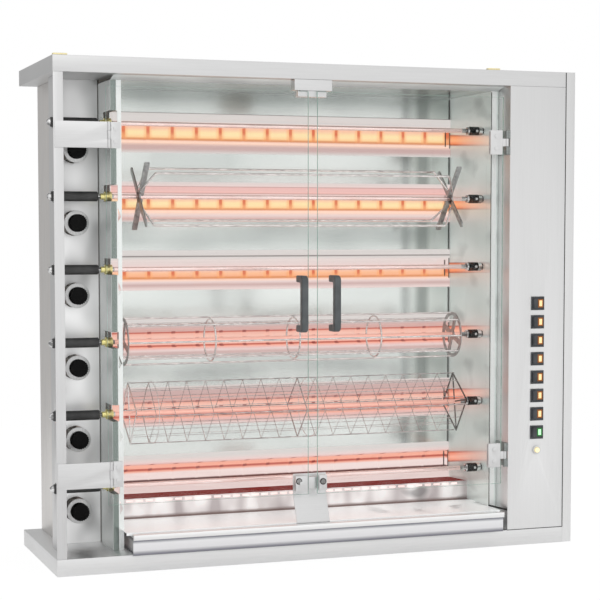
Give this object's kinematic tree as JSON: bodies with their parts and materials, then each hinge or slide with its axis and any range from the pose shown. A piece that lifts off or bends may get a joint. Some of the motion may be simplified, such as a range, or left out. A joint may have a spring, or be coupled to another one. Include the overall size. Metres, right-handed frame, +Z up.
{
  "type": "gas chicken rotisserie",
  "caption": "Wide stainless gas rotisserie cabinet with stacked turning spits, rear burners, a glass double door, knobs on the left, switches on the right and a drip drawer below.",
  "frame": {"origin": "middle of the whole object's footprint, on the floor under the base", "axes": "+X to the right along the spits, +Y from the doors to the back, +Z up"},
  "size_m": [1.2, 0.441, 1.08],
  "materials": {
    "case_steel": "brushed stainless sheet",
    "lining_steel": "mirror-polished stainless sheet",
    "spit_steel": "ground stainless bar",
    "wire_steel": "stainless wire and strip",
    "grip_plastic": "heat-resistant moulded plastic",
    "knob_plastic": "moulded, slightly glossy",
    "dial_metal": "spun and lightly polished",
    "brass": "turned brass",
    "valve_metal": "plated pipe and valve bodies",
    "motor_metal": "zinc plate and grey paint",
    "burner_steel": "heat-tinted stainless sheet",
    "burner_ceramic": "glowing pierced plaques",
    "door_glass": "clear toughened glass",
    "handle_metal": "dark grey powder coat",
    "switch_plastic": "dark grey moulded plastic",
    "button_plastic": "pale yellow lit cap",
    "gland_plastic": "black nylon",
    "plug_metal": "brass-coloured caps"
  },
  "bodies": {
    "cabinet": {"base_slab": "case_steel", "roof_slab": "case_steel", "right_end_panel": "case_steel", "left_front_post": "case_steel", "left_side_panel": "case_steel", "rear_panel": "case_steel", "control_panel": "case_steel", "chamber_lining": "lining_steel", "chamber_left_wall": "lining_steel", "chamber_right_wall": "lining_steel", "drip_floor": "case_steel", "knob_panel": "case_steel", "hinge_brackets": "case_steel", "burner_bodies": "burner_steel", "burner_tiles": "burner_ceramic", "gas_train": "valve_metal", "drive_motors": "motor_metal", "dial_plates": "dial_metal", "spit_rests": "brass", "switch_frames": "switch_plastic", "door_catches": "case_steel", "cable_gland": "gland_plastic", "roof_plugs": "plug_metal"},
    "door_left": {"door_glass_left": "door_glass", "door_fittings_left": "case_steel", "door_handle_left": "handle_metal"},
    "door_right": {"door_glass_right": "door_glass", "door_fittings_right": "case_steel", "door_handle_right": "handle_metal"},
    "drawer": {"drip_tray": "case_steel"},
    "spit_assembly_1": {"spit_1": "spit_steel", "spit_handle_1": "grip_plastic"},
    "spit_assembly_2": {"spit_2": "spit_steel", "spit_handle_2": "grip_plastic", "cradle_2": "wire_steel"},
    "spit_assembly_3": {"spit_3": "spit_steel", "spit_handle_3": "grip_plastic"},
    "spit_assembly_4": {"spit_4": "spit_steel", "spit_handle_4": "grip_plastic", "rod_basket_4": "wire_steel"},
    "spit_assembly_5": {"spit_5": "spit_steel", "spit_handle_5": "grip_plastic", "mesh_basket_5": "wire_steel"},
    "spit_assembly_6": {"spit_6": "spit_steel", "spit_handle_6": "grip_plastic"},
    "knob_assembly_1": {"knob_1": "knob_plastic"},
    "knob_assembly_2": {"knob_2": "knob_plastic"},
    "knob_assembly_3": {"knob_3": "knob_plastic"},
    "knob_assembly_4": {"knob_4": "knob_plastic"},
    "knob_assembly_5": {"knob_5": "knob_plastic"},
    "knob_assembly_6": {"knob_6": "knob_plastic"},
    "switch_1": {"rocker_1": "switch_plastic"},
    "switch_2": {"rocker_2": "switch_plastic"},
    "switch_3": {"rocker_3": "switch_plastic"},
    "switch_4": {"rocker_4": "switch_plastic"},
    "switch_5": {"rocker_5": "switch_plastic"},
    "switch_6": {"rocker_6": "switch_plastic"},
    "switch_7": {"rocker_7": "switch_plastic"},
    "switch_8": {"rocker_8": "switch_plastic"},
    "ignition": {"ignition_button": "button_plastic"}
  },
  "joints": [
    {"name": "door_left_hinge", "type": "hinge", "parent": "cabinet", "child": "door_left", "pos_m": [-0.484, -0.1835, 0.56], "axis": [0, 0, -1], "range_deg": [0, 105]},
    {"name": "door_right_hinge", "type": "hinge", "parent": "cabinet", "child": "door_right", "pos_m": [0.429, -0.1815, 0.56], "axis": [0, 0, 1], "range_deg": [0, 105]},
    {"name": "drawer_slide", "type": "slide", "parent": "cabinet", "child": "drawer", "axis": [0, -1, 0], "range_m": [0, 0.28]},
    {"name": "spit_1_turn", "type": "hinge", "parent": "cabinet", "child": "spit_assembly_1", "pos_m": [0, -0.0755, 0.946], "axis": [1, 0, 0], "continuous": true},
    {"name": "spit_2_turn", "type": "hinge", "parent": "cabinet", "child": "spit_assembly_2", "pos_m": [0, -0.0755, 0.7905], "axis": [1, 0, 0], "continuous": true},
    {"name": "spit_3_turn", "type": "hinge", "parent": "cabinet", "child": "spit_assembly_3", "pos_m": [0, -0.0755, 0.635], "axis": [1, 0, 0], "continuous": true},
    {"name": "spit_4_turn", "type": "hinge", "parent": "cabinet", "child": "spit_assembly_4", "pos_m": [0, -0.0755, 0.4795], "axis": [1, 0, 0], "continuous": true},
    {"name": "spit_5_turn", "type": "hinge", "parent": "cabinet", "child": "spit_assembly_5", "pos_m": [0, -0.0755, 0.324], "axis": [1, 0, 0], "continuous": true},
    {"name": "spit_6_turn", "type": "hinge", "parent": "cabinet", "child": "spit_assembly_6", "pos_m": [0, -0.0755, 0.1685], "axis": [1, 0, 0], "continuous": true},
    {"name": "knob_1_turn", "type": "hinge", "parent": "cabinet", "child": "knob_assembly_1", "pos_m": [-0.523, -0.0535, 0.8897], "axis": [0, -1, 0], "range_deg": [0, 180]},
    {"name": "knob_2_turn", "type": "hinge", "parent": "cabinet", "child": "knob_assembly_2", "pos_m": [-0.523, -0.0535, 0.7342], "axis": [0, -1, 0], "range_deg": [0, 180]},
    {"name": "knob_3_turn", "type": "hinge", "parent": "cabinet", "child": "knob_assembly_3", "pos_m": [-0.523, -0.0535, 0.5787], "axis": [0, -1, 0], "range_deg": [0, 180]},
    {"name": "knob_4_turn", "type": "hinge", "parent": "cabinet", "child": "knob_assembly_4", "pos_m": [-0.523, -0.0535, 0.4232], "axis": [0, -1, 0], "range_deg": [0, 180]},
    {"name": "knob_5_turn", "type": "hinge", "parent": "cabinet", "child": "knob_assembly_5", "pos_m": [-0.523, -0.0535, 0.2677], "axis": [0, -1, 0], "range_deg": [0, 180]},
    {"name": "knob_6_turn", "type": "hinge", "parent": "cabinet", "child": "knob_assembly_6", "pos_m": [-0.523, -0.0535, 0.1122], "axis": [0, -1, 0], "range_deg": [0, 180]},
    {"name": "rocker_1_tilt", "type": "hinge", "parent": "cabinet", "child": "switch_1", "pos_m": [0.5093, -0.1775, 0.5526], "axis": [0, 0, -1], "range_deg": [0, 22]},
    {"name": "rocker_2_tilt", "type": "hinge", "parent": "cabinet", "child": "switch_2", "pos_m": [0.5093, -0.1775, 0.5105], "axis": [0, 0, -1], "range_deg": [0, 22]},
    {"name": "rocker_3_tilt", "type": "hinge", "parent": "cabinet", "child": "switch_3", "pos_m": [0.5093, -0.1775, 0.4684], "axis": [0, 0, -1], "range_deg": [0, 22]},
    {"name": "rocker_4_tilt", "type": "hinge", "parent": "cabinet", "child": "switch_4", "pos_m": [0.5093, -0.1775, 0.4263], "axis": [0, 0, -1], "range_deg": [0, 22]},
    {"name": "rocker_5_tilt", "type": "hinge", "parent": "cabinet", "child": "switch_5", "pos_m": [0.5093, -0.1775, 0.3842], "axis": [0, 0, -1], "range_deg": [0, 22]},
    {"name": "rocker_6_tilt", "type": "hinge", "parent": "cabinet", "child": "switch_6", "pos_m": [0.5093, -0.1775, 0.3421], "axis": [0, 0, -1], "range_deg": [0, 22]},
    {"name": "rocker_7_tilt", "type": "hinge", "parent": "cabinet", "child": "switch_7", "pos_m": [0.5093, -0.1775, 0.3], "axis": [0, 0, -1], "range_deg": [0, 22]},
    {"name": "rocker_8_tilt", "type": "hinge", "parent": "cabinet", "child": "switch_8", "pos_m": [0.5093, -0.1775, 0.2579], "axis": [0, 0, -1], "range_deg": [0, 22]},
    {"name": "ignition_push", "type": "slide", "parent": "cabinet", "child": "ignition", "axis": [0, 1, 0], "range_m": [0, 0.004], "stiffness_N_per_m": 300}
  ]
}
